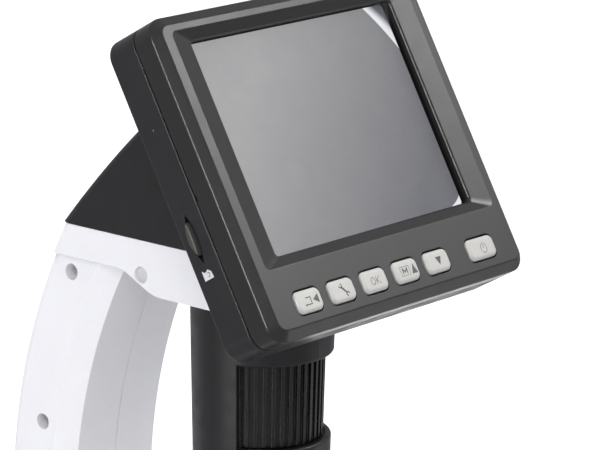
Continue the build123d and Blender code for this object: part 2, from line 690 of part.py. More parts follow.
LENS_BALL, LENS_MID = 28.6, 3.75
LENS_SAG = LENS_BALL - sqrt(LENS_BALL ** 2 - 7.5 ** 2)
LENS_SAG_MID = LENS_BALL - sqrt(LENS_BALL ** 2 - LENS_MID ** 2)
with BuildPart() as lens_upper:
    with BuildSketch(Plane.XZ.offset(-COL_Y)):
        with BuildLine():
            Line((0, 100.9), (7.5, 100.9))
            Line((7.5, 100.9), (7.5, 98.6))
            ThreePointArc((7.5, 98.6), (LENS_MID, 98.6 - LENS_SAG + LENS_SAG_MID), (0, 98.6 - LENS_SAG))
            Line((0, 98.6 - LENS_SAG), (0, 100.9))
        make_face()
    revolve(axis=Axis((0, COL_Y, 0), (0, 0, 1)))
lens_upper.part.label = "lens_upper"
export_step(lens_upper.part, "parts/lens_upper.step")

with BuildPart() as lens_spacer:
    with BuildSketch(Plane.XY.offset(93.7)):
        with Locations((0, COL_Y)):
            Circle(7.5)
            Circle(6.6, mode=Mode.SUBTRACT)
    extrude(amount=4.4)
lens_spacer.part.label = "lens_spacer"
export_step(lens_spacer.part, "parts/lens_spacer.step")

with BuildPart() as lens_lower:
    with BuildSketch(Plane.XZ.offset(-COL_Y)):
        with BuildLine():
            Line((0, 90.6), (0, 92.9 + LENS_SAG))
            ThreePointArc((0, 92.9 + LENS_SAG), (LENS_MID, 92.9 + LENS_SAG - LENS_SAG_MID), (7.5, 92.9))
            Line((7.5, 92.9), (7.5, 90.6))
            Line((7.5, 90.6), (0, 90.6))
        make_face()
    revolve(axis=Axis((0, COL_Y, 0), (0, 0, 1)))
lens_lower.part.label = "lens_lower"
export_step(lens_lower.part, "parts/lens_lower.step")

with BuildPart() as lens_retainer:
    with BuildSketch(Plane.XY.offset(89.2)):
        with Locations((0, COL_Y)):
            Circle(7.5)
            Circle(6.3, mode=Mode.SUBTRACT)
    extrude(amount=1.3)
lens_retainer.part.label = "lens_retainer"
export_step(lens_retainer.part, "parts/lens_retainer.step")

with BuildPart() as led_board:
    with BuildSketch(Plane.XY.offset(63.2)):
        with Locations((0, COL_Y)):
            Circle(14.8)
            Circle(8.0, mode=Mode.SUBTRACT)
    extrude(amount=1.0)
led_board.part.label = "led_board"
export_step(led_board.part, "parts/led_board.step")

with BuildPart() as leds:
    with BuildSketch(Plane.XY.offset(61.6)):
        with Locations((0, COL_Y)):
            with PolarLocations(11.4, 8, start_angle=22.5):
                Circle(1.5)
    extrude(amount=1.55)
leds.part.label = "leds"
export_step(leds.part, "parts/leds.step")

with BuildPart() as light_diffuser:
    with BuildSketch(Plane.XY.offset(60.2)):
        with Locations((0, COL_Y)):
            Circle(14.4)
            Circle(7.8, mode=Mode.SUBTRACT)
    extrude(amount=1.2)
light_diffuser.part.label = "light_diffuser"
export_step(light_diffuser.part, "parts/light_diffuser.step")

with BuildPart() as nose_cap:
    with BuildSketch(Plane.XZ.offset(-COL_Y)):
        with BuildLine():
            Polyline((13.6, 59.4), (15.7, 59.4), (col_r(COL_BOT), 60.4), (col_r(COL_BOT), 61.05), (15.1, 61.05), (15.1, 63.0),
                     (14.55, 63.0), (14.55, 60.1), (13.6, 60.1), (13.6, 59.4))
        make_face()
    revolve(axis=Axis((0, COL_Y, 0), (0, 0, 1)))
nose_cap.part.label = "nose_cap"
export_step(nose_cap.part, "parts/nose_cap.step")

with BuildPart() as objective_shroud:
    with BuildSketch(Plane.XZ.offset(-COL_Y)):
        with BuildLine():
            Polyline((5.6, 58.9), (7.0, 58.9), (7.7, 59.6), (7.7, 80.0), (6.9, 80.0), (6.9, 59.9), (5.6, 59.9), (5.6, 58.9))
        make_face()
    revolve(axis=Axis((0, COL_Y, 0), (0, 0, 1)))
    with BuildSketch(Plane.XY.offset(64.3)):
        with Locations((0, COL_Y)):
            Circle(9.6)
            Circle(7.3, mode=Mode.SUBTRACT)
    extrude(amount=0.8)
objective_shroud.part.label = "objective_shroud"
export_step(objective_shroud.part, "parts/objective_shroud.step")

with BuildPart() as objective_window:
    with BuildSketch(Plane.XY.offset(59.95)):
        with Locations((0, COL_Y)):
            Circle(6.8)
    extrude(amount=1.0)
objective_window.part.label = "objective_window"
export_step(objective_window.part, "parts/objective_window.step")


# ================================================================== stand
def arc_y(cy, r, z):
    return cy + sqrt(r * r - (z - ARM_CZ) ** 2)


def arm_outline(t):
    """Side outline of the C-shaped arm, moved in by t all round, as a closed set of edges."""
    top = CHEEK_TOP - 0.25 - t
    ri, ro = ARM_R + t, ARM_OR - t
    foot_r = 12.0 + (0 if t == 0 else -t)
    toe_z = 17.0 - (t if t == 0 else -0.0)
    bottom = BASE_TOP + 0.05 + t
    ang = asin((26.63 - ARM_CZ) / ARM_R)
    p = (ARM_CY + ri * cos(ang), ARM_CZ + ri * sin(ang))                # inner arc leaves for the toe
    c = (ARM_CY + (ARM_R - 12.0) * cos(ang), ARM_CZ + (ARM_R - 12.0) * sin(ang))
    fr = 12.0 + t
    e = (c[0], c[1] - fr)
    am = (ang - pi / 2) / 2
    m = (c[0] + fr * cos(am), c[1] + fr * sin(am))
    inner_top = (arc_y(ARM_CY, ri, 124.3 - t), 124.3 - t)
    shoulder = 21.3 + t
    outer_top = (arc_y(ARM_OY, ro, top), top)
    outer_bot = (arc_y(ARM_OY, ro, bottom), bottom)
    mid_i = (arc_y(ARM_CY, ri, 75), 75)
    mid_o = (arc_y(ARM_OY, ro, 75), 75)
    ThreePointArc(inner_top, mid_i, p)
    if t == 0:
        ThreePointArc(p, m, e)
        Line(e, (e[0], bottom))
        Line((e[0], bottom), outer_bot)
    else:
        # the hollow stops above the toe
        Line(p, (p[0] + 2.0, bottom))
        Line((p[0] + 2.0, bottom), outer_bot)
    ThreePointArc(outer_bot, mid_o, outer_top)
    Line(outer_top, (shoulder, top))
    Line((shoulder, top), (shoulder, 124.3 - t))
    Line((shoulder, 124.3 - t), inner_top)


ARM_SCREWS = [(34.4, 119.7), (44.7, 78.0), (45.6, 36.0)]
BASE_SCREW_Y = (38.6, 46.6)
CHEEK_REAR_TOP = arc_y(ARM_OY, ARM_OR, CHEEK_TOP)
CHEEK_REAR_LOW = arc_y(ARM_OY, ARM_OR, CHEEK_LOW_REAR)


# both halves share this core, drawn for the right side: x from the parting plane outwards
MID = Plane.YZ.offset(0.02)
# solid root of the cheek at the back, rounded like the arm
with BuildPart() as cheek_root:
    with BuildSketch(Plane.YZ.offset(9.0)):
        with BuildLine():
            Line((25.0, CHEEK_LOW_REAR), (25.0, CHEEK_TOP))
            Line((25.0, CHEEK_TOP), (CHEEK_REAR_TOP, CHEEK_TOP))
            ThreePointArc((CHEEK_REAR_TOP, CHEEK_TOP), (arc_y(ARM_OY, ARM_OR, 128.2), 128.2), (CHEEK_REAR_LOW, CHEEK_LOW_REAR))
            Line((CHEEK_REAR_LOW, CHEEK_LOW_REAR), (25.0, CHEEK_LOW_REAR))
        make_face()
    extrude(amount=CHEEK_OUT - 9.0)
    back = cheek_root.edges().filter_by(lambda e: abs(e.center().X - CHEEK_OUT) < 0.01 and e.center().Y > 36 and e.bounding_box().size.Z > 7)
    fillet(back, 3.2)

# the cheek's plate, with its lower edge eased
with BuildPart() as cheek_plate:
    with BuildSketch(Plane.YZ.offset(CHEEK_IN)):
        with BuildLine():
            Line((COL_Y, CHEEK_LOW_FRONT), (COL_Y, CHEEK_TOP))
            Line((COL_Y, CHEEK_TOP), (30.0, CHEEK_TOP))
            Line((30.0, CHEEK_TOP), (30.0, CHEEK_LOW_REAR))
            Line((30.0, CHEEK_LOW_REAR), (18.0, CHEEK_LOW_REAR))
            Spline((18.0, CHEEK_LOW_REAR), (14.6, 123.2), (9.7, 120.75), (5.8, 119.1), (2.0, CHEEK_LOW_FRONT),
                   tangents=[(-1, 0), (-1, 0)])
            Line((2.0, CHEEK_LOW_FRONT), (COL_Y, CHEEK_LOW_FRONT))
        make_face()
    extrude(amount=CHEEK_OUT - CHEEK_IN)
    low = cheek_plate.faces().sort_by(Axis.X)[-1].edges().filter_by(lambda e: e.center().Z < 125 and e.length > 10)
    fillet(low, 0.5)

with BuildPart() as stand_core:
    with BuildSketch(MID):
        with BuildLine():
            arm_outline(0)
        make_face()
    extrude(amount=22.0)
    split(bisect_by=Plane(origin=(ARM_HALF_124, 0, 124.0), z_dir=(-1, 0, -ARM_FLARE)), keep=Keep.TOP)
    side_face = stand_core.faces().filter_by(lambda f: f.center().X > 12 and abs(f.normal_at().X) > 0.9).sort_by(SortBy.AREA)[-1]
    inner = side_face.edges().filter_by(
        lambda e: e.length > 60 and abs(sqrt((e.center().Y - ARM_CY) ** 2 + (e.center().Z - ARM_CZ) ** 2) - ARM_R) < 6)
    outer = side_face.edges().filter_by(
        lambda e: e.length > 60 and abs(sqrt((e.center().Y - ARM_OY) ** 2 + (e.center().Z - ARM_CZ) ** 2) - ARM_OR) < 6)
    chamfer(inner, length=ARM_BEVEL_DEPTH, length2=ARM_BEVEL_WIDTH, reference=side_face)
    fillet(outer, 3.2)
    # hollow
    with BuildSketch(MID):
        with BuildLine():
            arm_outline(ARM_WALL)
        make_face()
    extrude(amount=12.6, mode=Mode.SUBTRACT)
    # screw posts across the hollow
    with BuildSketch(MID):
        with Locations(*ARM_SCREWS):
            Circle(3.2)
    extrude(amount=13.4)
    # posts for the screws from the base
    with BuildSketch(Plane.XY.offset(BASE_TOP + 0.05)):
        with Locations(*[(7.6, y) for y in BASE_SCREW_Y]):
            Circle(3.0)
    extrude(amount=10.5)
    with BuildSketch(Plane.XY.offset(BASE_TOP - 1)):
        with Locations(*[(7.6, y) for y in BASE_SCREW_Y]):
            Circle(0.95)
    extrude(amount=10.6, mode=Mode.SUBTRACT)
    add(cheek_root.part)
    add(cheek_plate.part)
    # recess and hole for the cheek screw
    with BuildSketch(Plane.YZ.offset(30)):
        with Locations(CHEEK_SCREW):
            Circle(2.1)
    extrude(amount=-(30 - 16.15), mode=Mode.SUBTRACT)
    with BuildSketch(Plane.YZ.offset(30)):
        with Locations(CHEEK_SCREW):
            Circle(1.15)
    extrude(amount=-16, mode=Mode.SUBTRACT)

with BuildPart() as stand_left:
    add(mirror(stand_core.part, about=Plane.YZ, mode=Mode.PRIVATE))
    # screw recesses open to the left
    with BuildSketch(Plane.YZ.offset(-30)):
        with Locations(*ARM_SCREWS):
            Circle(2.1)
    extrude(amount=30 - 10.5, mode=Mode.SUBTRACT)
    with BuildSketch(Plane.YZ.offset(-30)):
        with Locations(*ARM_SCREWS):
            Circle(1.2)
    extrude(amount=31, mode=Mode.SUBTRACT)
stand_left.part.label = "stand_left"
export_step(stand_left.part, "parts/stand_left.step")

with BuildPart() as stand_right:
    add(stand_core.part)
    with BuildSketch(Plane.YZ):
        with Locations(*ARM_SCREWS):
            Circle(0.95)
    extrude(amount=11.0, mode=Mode.SUBTRACT)
stand_right.part.label = "stand_right"
export_step(stand_right.part, "parts/stand_right.step")

with BuildPart() as cheek_screws:
    for s in (-1, 1):
        with BuildSketch(Plane.YZ.offset(s * 16.2)):
            with Locations(CHEEK_SCREW):
                Circle(1.9)
        extrude(amount=s * 0.65)
        with BuildSketch(Plane.YZ.offset(s * 16.5)):
            with Locations(CHEEK_SCREW):
                Circle(0.8)
        extrude(amount=-s * 8.6)
        with BuildSketch(Plane.YZ.offset(s * 16.95)):
            with Locations(CHEEK_SCREW):
                Rectangle(2.5, 0.5)
                Rectangle(0.5, 2.5)
        extrude(amount=-s * 0.5, mode=Mode.SUBTRACT)
cheek_screws.part.label = "cheek_screws"
export_step(cheek_screws.part, "parts/cheek_screws.step")

# white plugs over the cheek screws
with BuildPart() as cheek_plugs:
    for s in (-1, 1):
        with BuildSketch(Plane.YZ.offset(s * 16.88)):
            with Locations(CHEEK_SCREW):
                Circle(2.05)
        extrude(amount=s * 0.32)
cheek_plugs.part.label = "cheek_plugs"
export_step(cheek_plugs.part, "parts/cheek_plugs.step")

with BuildPart() as arm_screws:
    with BuildSketch(Plane.YZ.offset(-10.55)):
        with Locations(*ARM_SCREWS):
            Circle(1.9)
    extrude(amount=-1.5)
    with BuildSketch(Plane.YZ.offset(-10.8)):
        with Locations(*ARM_SCREWS):
            Circle(0.85)
    extrude(amount=20.4)
    with BuildSketch(Plane.YZ.offset(-12.1)):
        for p in ARM_SCREWS:
            with Locations(p):
                Rectangle(2.5, 0.5)
                Rectangle(0.5, 2.5)
    extrude(amount=0.8, mode=Mode.SUBTRACT)
arm_screws.part.label = "arm_screws"
export_step(arm_screws.part, "parts/arm_screws.step")

# base: a hollow cover with a round seat for the stage disc
PLATE_SCREWS = [(-33.0, -38.0), (33.0, -38.0), (-33.0, 46.0), (33.0, 46.0)]
FEET = [(-31.0, -44.0), (31.0, -44.0), (-33.0, 32.0), (33.0, 32.0)]
with BuildPart() as base_cover:
    with BuildSketch(Plane.XY.offset(2.0)):
        RectangleRounded(BASE_W, BASE_L, BASE_R)
    extrude(amount=BASE_TOP - 2.0)
    fillet(base_cover.faces().sort_by(Axis.Z)[-1].edges(), 5.0)
    fillet(base_cover.faces().sort_by(Axis.Z)[0].edges(), 0.8)
    with BuildSketch(Plane.XY.offset(2.0)):
        RectangleRounded(BASE_W - 6.0, BASE_L - 6.0, BASE_R - 3.0)
    extrude(amount=7.2, mode=Mode.SUBTRACT)
    with BuildSketch(Plane.XY.offset(9.0)):
        RectangleRounded(BASE_W - 12.0, BASE_L - 12.0, BASE_R - 6.0)
    extrude(amount=1.4, mode=Mode.SUBTRACT)
    with BuildSketch(Plane.XY.offset(12.2)):
        with Locations((0, COL_Y)):
            Circle(STAGE_R + 0.35)
    extrude(amount=3, mode=Mode.SUBTRACT)
    with BuildSketch(Plane.XY.offset(4.45)):
        with Locations(*PLATE_SCREWS):
            Circle(3.0)
    extrude(amount=7)
    with BuildSketch(Plane.XY.offset(4.0)):
        with Locations(*PLATE_SCREWS):
            Circle(0.9)
    extrude(amount=6.4, mode=Mode.SUBTRACT)
    with BuildSketch(Plane.XY.offset(9.0)):
        with Locations(*[(s * 7.6, y) for s in (-1, 1) for y in BASE_SCREW_Y]):
            Circle(1.3)
    extrude(amount=6, mode=Mode.SUBTRACT)
base_cover.part.label = "base_cover"
export_step(base_cover.part, "parts/base_cover.step")

with BuildPart() as arm_base_screws:
    spots = [(s * 7.6, y) for s in (-1, 1) for y in BASE_SCREW_Y]
    with BuildSketch(Plane.XY.offset(8.7)):
        with Locations(*spots):
            Circle(2.3)
    extrude(amount=1.65)
    with BuildSketch(Plane.XY.offset(10.0)):
        with Locations(*spots):
            Circle(0.9)
    extrude(amount=13.5)
arm_base_screws.part.label = "arm_base_screws"
export_step(arm_base_screws.part, "parts/arm_base_screws.step")

with BuildPart() as base_plate:
    with BuildSketch(Plane.XY.offset(2.4)):
        RectangleRounded(BASE_W - 6.6, BASE_L - 6.6, BASE_R - 3.3)
    extrude(amount=2.0)
    with BuildSketch(Plane.XY.offset(2.0)):
        with Locations(*PLATE_SCREWS):
            Circle(1.2)
    extrude(amount=3, mode=Mode.SUBTRACT)
    with BuildSketch(Plane.XY.offset(2.0)):
        with Locations(*PLATE_SCREWS):
            Circle(2.4)
    extrude(amount=1.4, mode=Mode.SUBTRACT)
base_plate.part.label = "base_plate"
export_step(base_plate.part, "parts/base_plate.step")

with BuildPart() as base_plate_screws:
    with BuildSketch(Plane.XY.offset(2.5)):
        with Locations(*PLATE_SCREWS):
            Circle(2.1)
    extrude(amount=0.85)
    with BuildSketch(Plane.XY.offset(3.0)):
        with Locations(*PLATE_SCREWS):
            Circle(0.8)
    extrude(amount=6.8)
base_plate_screws.part.label = "base_plate_screws"
export_step(base_plate_screws.part, "parts/base_plate_screws.step")

with BuildPart() as ballast_plate:
    with BuildSketch(Plane.XY.offset(4.5)):
        with Locations((0, -2)):
            RectangleRounded(54.0, 104.0, 6.0)
    extrude(amount=3.6)
ballast_plate.part.label = "ballast_plate"
export_step(ballast_plate.part, "parts/ballast_plate.step")

with BuildPart() as stage_disc:
    with BuildSketch(Plane.XY.offset(12.25)):
        with Locations((0, COL_Y)):
            Circle(STAGE_R)
    extrude(amount=2.15)
    fillet(stage_disc.faces().sort_by(Axis.Z)[-1].edges(), 0.5)
stage_disc.part.label = "stage_disc"
export_step(stage_disc.part, "parts/stage_disc.step")

with BuildPart() as rubber_feet:
    with BuildSketch(Plane.XY):
        with Locations(*FEET):
            Circle(6.0)
    extrude(amount=2.38)
    fillet(rubber_feet.edges().filter_by(lambda e: abs(e.center().Z) < 0.01), 0.6)
rubber_feet.part.label = "rubber_feet"
export_step(rubber_feet.part, "parts/rubber_feet.step")
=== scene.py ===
import json
import math

import bmesh
import bpy
from mathutils import Matrix, Vector

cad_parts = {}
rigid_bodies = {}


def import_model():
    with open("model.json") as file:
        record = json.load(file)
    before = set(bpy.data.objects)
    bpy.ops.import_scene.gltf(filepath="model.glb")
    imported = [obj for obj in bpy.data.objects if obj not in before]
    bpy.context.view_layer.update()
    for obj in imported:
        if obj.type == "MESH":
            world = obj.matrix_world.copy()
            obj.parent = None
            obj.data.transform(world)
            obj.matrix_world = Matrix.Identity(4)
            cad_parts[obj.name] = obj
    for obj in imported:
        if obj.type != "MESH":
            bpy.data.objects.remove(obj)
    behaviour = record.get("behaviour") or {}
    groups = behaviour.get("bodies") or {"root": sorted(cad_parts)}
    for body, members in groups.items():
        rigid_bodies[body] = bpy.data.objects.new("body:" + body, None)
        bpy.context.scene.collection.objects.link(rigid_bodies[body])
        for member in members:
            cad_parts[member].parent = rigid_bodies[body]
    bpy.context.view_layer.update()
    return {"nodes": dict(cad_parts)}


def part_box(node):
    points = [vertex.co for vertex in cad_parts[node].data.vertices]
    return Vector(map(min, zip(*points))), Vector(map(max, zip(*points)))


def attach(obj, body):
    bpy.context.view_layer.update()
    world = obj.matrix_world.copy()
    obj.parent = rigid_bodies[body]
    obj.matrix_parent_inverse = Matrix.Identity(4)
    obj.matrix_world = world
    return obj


for left_over in list(bpy.data.objects):
    bpy.data.objects.remove(left_over)

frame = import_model()
nodes = frame["nodes"]

# ------------------------------------------------------------------ the head's own directions
MM = 0.001
C30, S30 = math.cos(math.radians(30)), math.sin(math.radians(30))
HEAD_X, HEAD_U, HEAD_N = Vector((1, 0, 0)), Vector((0, S30, C30)), Vector((0, -C30, S30))
HEAD_O = Vector((0, -36.65, 166.0)) * MM


def head(x, u, n):
    """A point of the head, mm right, up and out of its face, in the row frame."""
    return HEAD_O + (HEAD_X * x + HEAD_U * u + HEAD_N * n) * MM


# ------------------------------------------------------------------ node helpers
class Tree:
    """A material's nodes. A number or colour is set on the socket, another node's output is linked."""

    def __init__(self, name):
        self.mat = bpy.data.materials.new(name)
        self.mat.use_nodes = True
        self.nt = self.mat.node_tree
        self.nt.nodes.clear()
        self.out = self.nt.nodes.new("ShaderNodeOutputMaterial")
        self.place = self.add("ShaderNodeTexCoord").outputs["Object"]

    def add(self, kind, props=None, **inputs):
        n = self.nt.nodes.new(kind)
        for k, v in (props or {}).items():
            setattr(n, k, v)
        for k, v in inputs.items():
            key = int(k[1:]) if k[0] == "i" and k[1:].isdigit() else k.replace("_", " ")
            self.put(n.inputs[key], v)
        return n

    def put(self, socket, v):
        if isinstance(v, bpy.types.NodeSocket):
            self.nt.links.new(v, socket)
        else:
            socket.default_value = v

    def math(self, op, a, b=0.0, c=0.0, clamp=False):
        n = self.add("ShaderNodeMath", {"operation": op, "use_clamp": clamp}, i0=a, i1=b, i2=c)
        return n.outputs[0]

    def vmath(self, op, a, b=(0, 0, 0), out="Vector"):
        n = self.add("ShaderNodeVectorMath", {"operation": op}, i0=a, i1=b)
        return n.outputs[out]

    def remap(self, v, a, b, lo=0.0, hi=1.0, smooth=True):
        n = self.add(
            "ShaderNodeMapRange", {"interpolation_type": "SMOOTHSTEP" if smooth else "LINEAR"},
            Value=v, From_Min=a, From_Max=b, To_Min=lo, To_Max=hi)
        return n.outputs[0]

    def mix(self, fac, a, b, blend="MIX"):
        n = self.add("ShaderNodeMix", {"data_type": "RGBA", "blend_type": blend}, i0=fac, i6=a, i7=b)
        return n.outputs[2]

    def noise(self, scale, detail=2.0, rough=0.5, place=None, distortion=0.0):
        n = self.add(
            "ShaderNodeTexNoise", None,
            Vector=self.place if place is None else place,
            Scale=scale, Detail=detail, Roughness=rough, Distortion=distortion)
        return n.outputs[0]

    def shader(self, **inputs):
        b = self.add("ShaderNodeBsdfPrincipled", None, **inputs)
        self.nt.links.new(b.outputs[0], self.out.inputs["Surface"])
        return b


def rgb(r, g=None, b=None):
    """A colour given as the 0-255 value it would show, made linear."""
    g, b = (r, r) if g is None else (g, b)
    f = lambda c: c / 12.92 if c <= 0.04045 else ((c + 0.055) / 1.055) ** 2.4
    return (f(r / 255), f(g / 255), f(b / 255), 1.0)


def scaled(c, k):
    return (min(1, c[0] * k), min(1, c[1] * k), min(1, c[2] * k), 1.0)


def moulded(name, colour, rough=0.4, spread=0.06, grain=2600.0, depth=6e-6, mottle=0.06, edge=0.35,
            edge_wear_and_glint_colour=None, edge_wear_and_glint=0.25, patchy=(0.42, 0.62), dust=0.0, specular=0.5, coat=0.0, opening_shade_colour=None, **more):
    """Injection-moulded plastic: fine spark-eroded grain with painted shade in its hollows, slow colour drift,
    roughness that varies, edges rounded and lightened by rub wear and painted highlight, a little dust, and painted
    shade on the walls of an opening."""
    t = Tree(name)
    slow = t.noise(38.0, 3.0, 0.55)
    mid = t.noise(200.0, 1.0, 0.5)
    fine = t.noise(grain, 2.0, 0.65)
    colour_a, colour_b = scaled(colour, 1 - mottle), scaled(colour, 1 + mottle)
    base = t.mix(t.remap(slow, 0.35, 0.65), colour_a, colour_b)
    # painted shade: the grain's hollows are a little darker
    base = t.mix(t.remap(fine, 0.3, 0.7, 0.1, 0.0, smooth=False), base, scaled(colour, 0.6))
    normal = None
    roughness = t.remap(mid, 0.3, 0.7, rough - spread, rough + spread)
    if edge:
        bevel = t.add("ShaderNodeBevel", {"samples": 6}, Radius=edge * MM)
        normal = bevel.outputs[0]
        geo = t.add("ShaderNodeNewGeometry")
        turn = t.vmath("DOT_PRODUCT", normal, geo.outputs["Normal"], out="Value")
        rubbed_and_glinting_edge = t.math("SUBTRACT", 1.0, turn)
        patch = t.remap(t.noise(150.0, 4.0, 0.7), *patchy)
        rubbed_and_glinting_edge = t.math("MULTIPLY", t.remap(rubbed_and_glinting_edge, 0.02, 0.2), patch)
        # rubbed edges take a lighter colour: rub wear, and on the focus ring mostly a painted highlight along the
        # fin edges
        base = t.mix(t.math("MULTIPLY", rubbed_and_glinting_edge, edge_wear_and_glint), base, edge_wear_and_glint_colour or scaled(colour, 1.8))
        roughness = t.math("SUBTRACT", roughness, t.math("MULTIPLY", rubbed_and_glinting_edge, 0.1), clamp=True)
    if dust:
        spots = t.add("ShaderNodeTexVoronoi", {"feature": "F1"}, Vector=t.place, Scale=310.0, Randomness=1.0)
        dot = t.remap(spots.outputs["Distance"], 0.035, 0.075, 1.0, 0.0)
        lit = t.remap(t.add("ShaderNodeSeparateColor", None, Color=spots.outputs["Color"]).outputs[0], 0.82, 0.9)
        speck = t.math("MULTIPLY", dot, lit)
        base = t.mix(t.math("MULTIPLY", speck, dust), base, rgb(150, 150, 152))
    bump = t.add("ShaderNodeBump", None, Strength=0.6, Distance=depth, Height=fine)
    if normal is not None:
        t.put(bump.inputs["Normal"], normal)
    wave = t.add("ShaderNodeBump", None, Strength=0.5, Distance=2.2e-5, Height=t.noise(90.0, 2.0, 0.5))
    t.put(wave.inputs["Normal"], bump.outputs[0])
    gloss = specular
    if opening_shade_colour:
        # painted shade: the walls of the opening are darkened to near black and made matt, less so towards the top
        # right where they would catch light
        off = t.vmath("SUBTRACT", t.place, tuple(HEAD_O))
        x = t.vmath("DOT_PRODUCT", off, tuple(HEAD_X / MM), out="Value")
        u = t.vmath("DOT_PRODUCT", off, tuple(HEAD_U / MM), out="Value")
        n = t.vmath("DOT_PRODUCT", off, tuple(HEAD_N / MM), out="Value")
        opening_shade = t.math("MULTIPLY", t.remap(u, -27.9, -27.7), t.remap(u, 28.9, 28.0))
        opening_shade = t.math("MULTIPLY", opening_shade, t.remap(x, -36.8, -36.6))
        opening_shade = t.math("MULTIPLY", opening_shade, t.remap(x, 39.9, 37.4))
        top = t.math("ADD", u, t.math("MULTIPLY", n, -3.0))
        opening_shade = t.math("MULTIPLY", opening_shade, t.math("MAXIMUM", t.remap(top, 30.5, 27.0), t.remap(x, 34.0, 33.0)))
        opening_shade = t.math("MULTIPLY", opening_shade, t.remap(n, 0.15, -1.0))
        # the painted shade lightens towards the edge of the opening
        base = t.mix(opening_shade, base, t.mix(t.remap(n, -2.0, -0.7), opening_shade_colour, rgb(42, 42, 41)))
        gloss = t.remap(opening_shade, 0.0, 0.7, specular, 0.06)
        roughness = t.math("MAXIMUM", roughness, t.math("MULTIPLY", opening_shade, 0.9))
    t.shader(Base_Color=base, Roughness=roughness, Normal=wave.outputs[0],
             **{"Specular_IOR_Level": gloss, "Coat_Weight": coat, **more})
    return t.mat


def metal(name, colour, rough=0.35, spread=0.1, brushed=None, edge=0.12, stain=0.1, depth=3e-6):
    """Plated or pressed steel: fine drawing lines, slow stains, softened edges."""
    t = Tree(name)
    place = t.place
    if brushed:
        place = t.vmath("MULTIPLY", t.place, brushed)
    lines = t.noise(1500.0, 3.0, 0.6, place=place)
    slow = t.noise(120.0, 3.0, 0.6)
    base = t.mix(t.remap(slow, 0.35, 0.7), scaled(colour, 1 - stain), scaled(colour, 1 + stain * 0.6))
    base = t.mix(t.remap(lines, 0.3, 0.6, 0.2, 0.0), base, scaled(colour, 0.6))
    roughness = t.remap(lines, 0.3, 0.7, rough - spread, rough + spread)
    bump = t.add("ShaderNodeBump", None, Strength=0.5, Distance=depth, Height=lines)
    if edge:
        t.put(bump.inputs["Normal"], t.add("ShaderNodeBevel", {"samples": 4}, Radius=edge * MM).outputs[0])
    t.shader(Base_Color=base, Roughness=roughness, Normal=bump.outputs[0], Metallic=1.0)
    return t.mat


# ------------------------------------------------------------------ materials
M = {}
# the bezel's opening walls get painted shade, nearly black
M["head_shell"] = moulded("head shell dark grey", rgb(35, 34, 34), rough=0.3, spread=0.02, mottle=0.05,
                          edge=0.25, edge_wear_and_glint_colour=rgb(112, 110, 108), edge_wear_and_glint=0.3, dust=0.0, grain=4200.0, depth=1.2e-6,
                          opening_shade_colour=rgb(15, 15, 16))
M["head_shell_rear"] = moulded("head rear shell black", rgb(31, 31, 33), rough=0.4, spread=0.05, mottle=0.06,
                               edge=0.3, edge_wear_and_glint_colour=rgb(95, 95, 97), edge_wear_and_glint=0.3, dust=0.15, grain=3400.0, depth=3e-6)
M["body_black"] = moulded("body black", rgb(25, 25, 27), rough=0.42, spread=0.05, mottle=0.07,
                          edge=0.4, edge_wear_and_glint_colour=rgb(88, 88, 90), edge_wear_and_glint=0.3, dust=0.35, grain=3200.0, depth=4e-6)
# painted highlight: the ring's light edge colour and wide patches light up the fin edges, on top of rub wear
M["ring_black"] = moulded("focus ring black", rgb(17, 17, 18), rough=0.3, spread=0.05, mottle=0.08,
                          edge=0.26, edge_wear_and_glint_colour=rgb(112, 110, 106), edge_wear_and_glint=0.55, patchy=(0.2, 0.55), dust=0.1, grain=3400.0, depth=3e-6)
M["stand_white"] = moulded("stand white", rgb(232, 232, 234), rough=0.4, spread=0.05, mottle=0.012,
                           edge=0.4, edge_wear_and_glint_colour=rgb(214, 214, 216), edge_wear_and_glint=0.3, dust=0.0, grain=2000.0, depth=3.5e-6)
M["base_white"] = moulded("base white", rgb(230, 230, 232), rough=0.42, spread=0.05, mottle=0.014,
                          edge=0.4, edge_wear_and_glint_colour=rgb(210, 210, 212), edge_wear_and_glint=0.3, dust=0.0, grain=2000.0, depth=4e-6)
M["key_white"] = moulded("key cap white", rgb(181, 180, 176), rough=0.36, spread=0.05, mottle=0.015,
                         edge=0.25, edge_wear_and_glint_colour=rgb(168, 166, 162), edge_wear_and_glint=0.3, grain=3000.0, depth=2.5e-6)
M["key_grey"] = moulded("snapshot key grey", rgb(66, 66, 64), rough=0.38, spread=0.05, mottle=0.06,
                        edge=0.25, edge_wear_and_glint_colour=rgb(130, 129, 126), edge_wear_and_glint=0.4, grain=2600.0, depth=4e-6)
M["guide_black"] = moulded("guide black", rgb(24, 24, 25), rough=0.5, mottle=0.08, edge=0.1, edge_wear_and_glint=0.3,
                           grain=2400.0, depth=6e-6)
# the cheek plugs' white is darkened: painted shade of their recess
M["plug_white"] = moulded("cheek plug white with painted recess shade", rgb(206, 206, 208), rough=0.5, spread=0.05, mottle=0.02,
                          edge=0.1, edge_wear_and_glint=0.3, grain=2000.0, depth=5e-6)
M["foot_rubber"] = moulded("foot rubber", rgb(44, 44, 45), rough=0.8, spread=0.08, mottle=0.1, edge=0.2,
                           edge_wear_and_glint_colour=rgb(80, 80, 80), edge_wear_and_glint=0.4, dust=0.5, grain=1500.0, depth=1.6e-5, specular=0.3)
M["stage_black"] = moulded("stage disc black", rgb(32, 32, 33), rough=0.55, spread=0.07, mottle=0.07, edge=0.25,
                           edge_wear_and_glint_colour=rgb(90, 90, 90), edge_wear_and_glint=0.35, dust=0.5, grain=1500.0, depth=9e-6)
M["chip_black"] = moulded("chip black", rgb(30, 30, 31), rough=0.55, mottle=0.06, edge=0, grain=3000.0, depth=6e-6)
M["battery_wrap"] = moulded("battery wrap", rgb(120, 124, 132), rough=0.3, mottle=0.05, edge=0, grain=900.0,
                            depth=1.2e-5)
